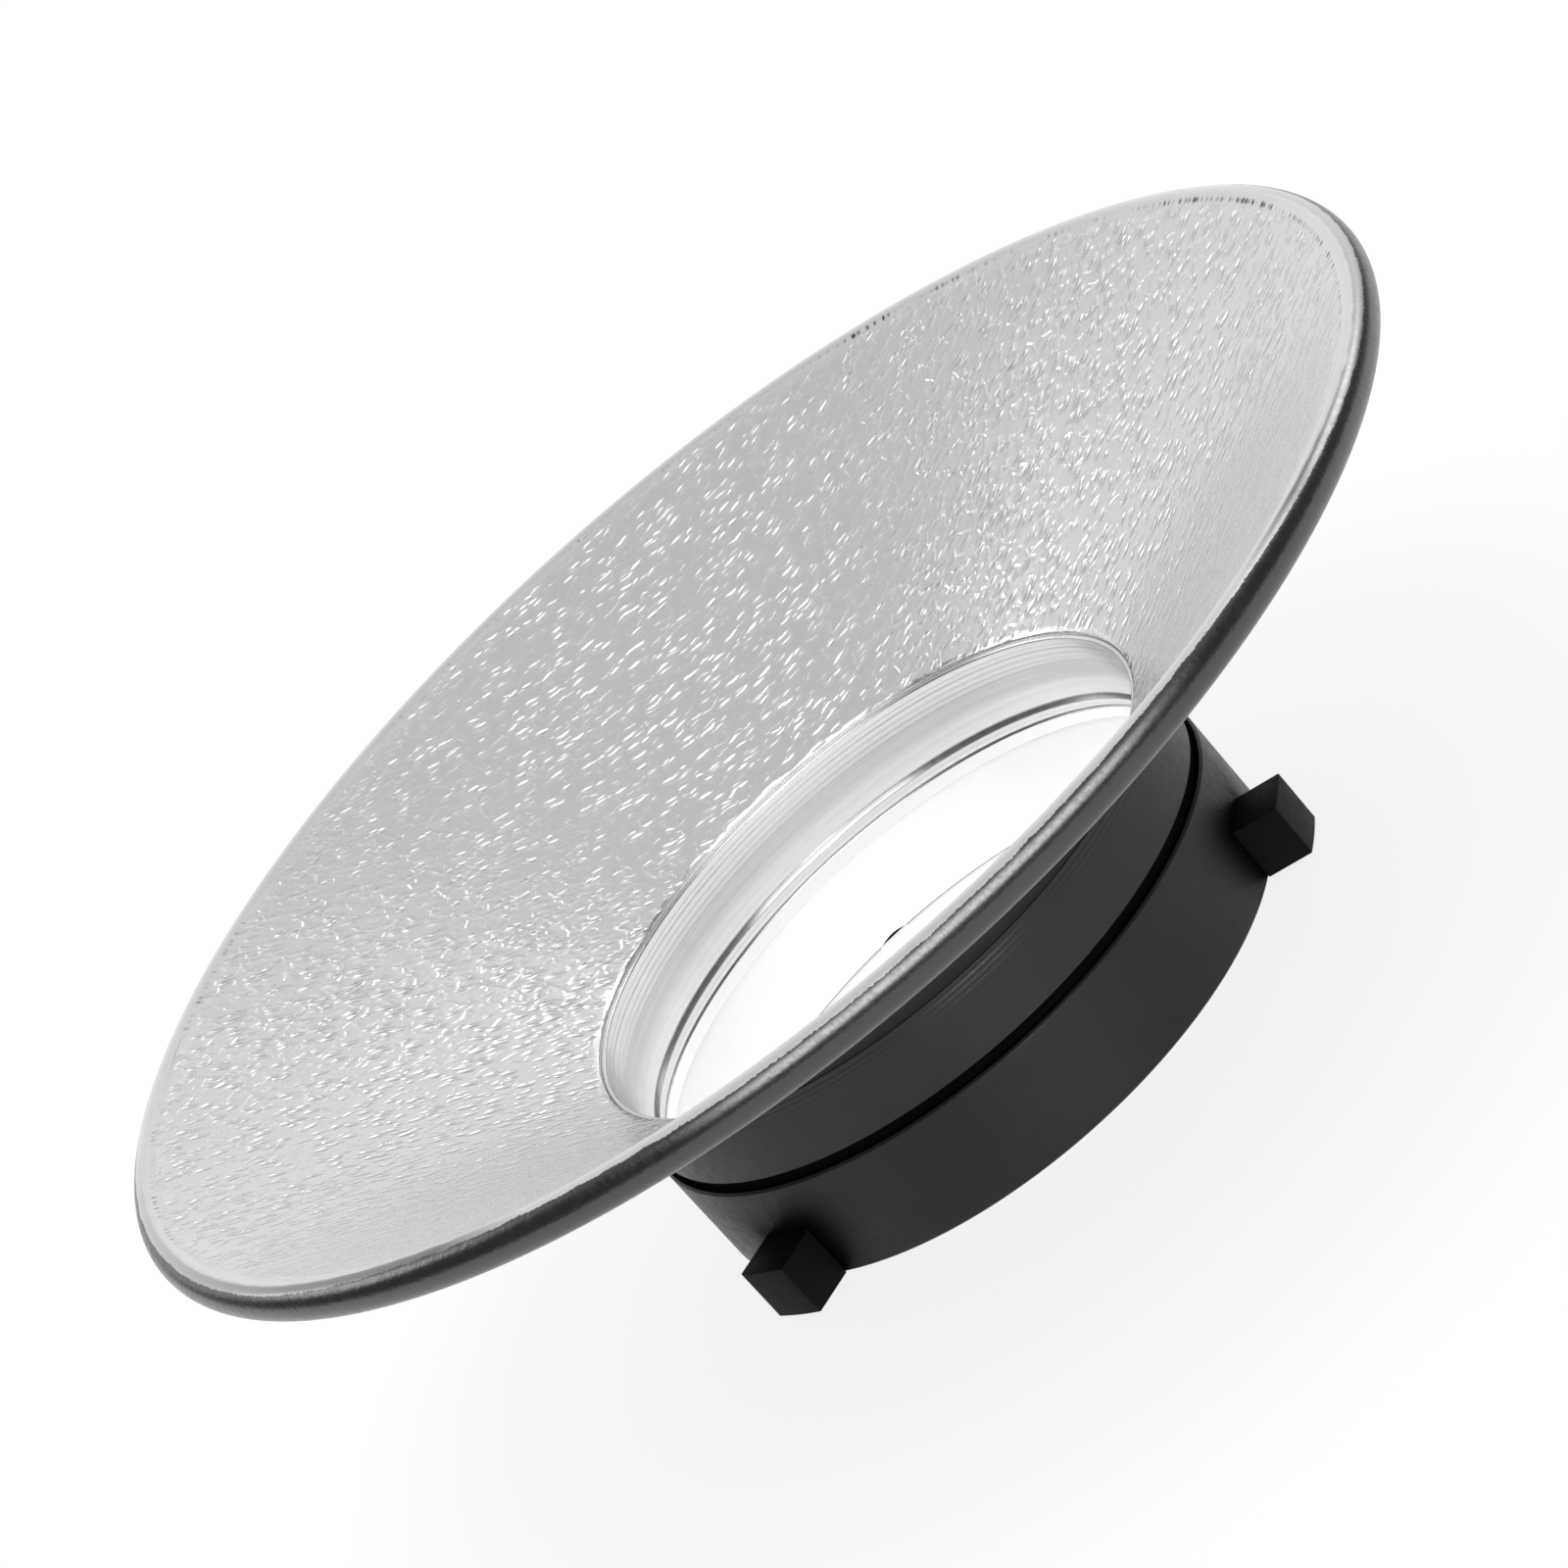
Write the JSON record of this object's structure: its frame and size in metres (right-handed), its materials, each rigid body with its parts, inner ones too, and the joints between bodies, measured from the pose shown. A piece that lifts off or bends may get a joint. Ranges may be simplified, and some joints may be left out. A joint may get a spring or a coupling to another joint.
{
  "type": "studio flash dish reflector",
  "caption": "Shallow wide-angle dish reflector for a studio flash head: textured cone with a curled rim, short neck and a bayonet mount ring with lugs.",
  "frame": {"origin": "centre of the mount ring's rear face, on the dish axis", "axes": "+Z along the dish axis, the way the dish opens; the two lugs that show in the front view are on the -Y side"},
  "size_m": [0.2176, 0.2176, 0.0623],
  "materials": {
    "dish_sheet": "bright pebbled inside, satin black powder coat outside and over the curl's outer half",
    "neck_sheet": "smooth spun bright inside, satin black outside",
    "ring_bright": "smooth satin",
    "ring_coated": "satin black outside, bright bore",
    "lug_coated": "satin black",
    "rivet_steel": "dressed flush"
  },
  "bodies": {
    "root": {"reflector_dish": "dish_sheet", "neck_collar": "neck_sheet", "retaining_ring": "ring_bright", "mount_ring": "ring_coated", "bayonet_lug_left": "lug_coated", "bayonet_lug_right": "lug_coated", "bayonet_lug_top": "lug_coated", "lug_rivets": "rivet_steel"}
  },
  "joints": []
}
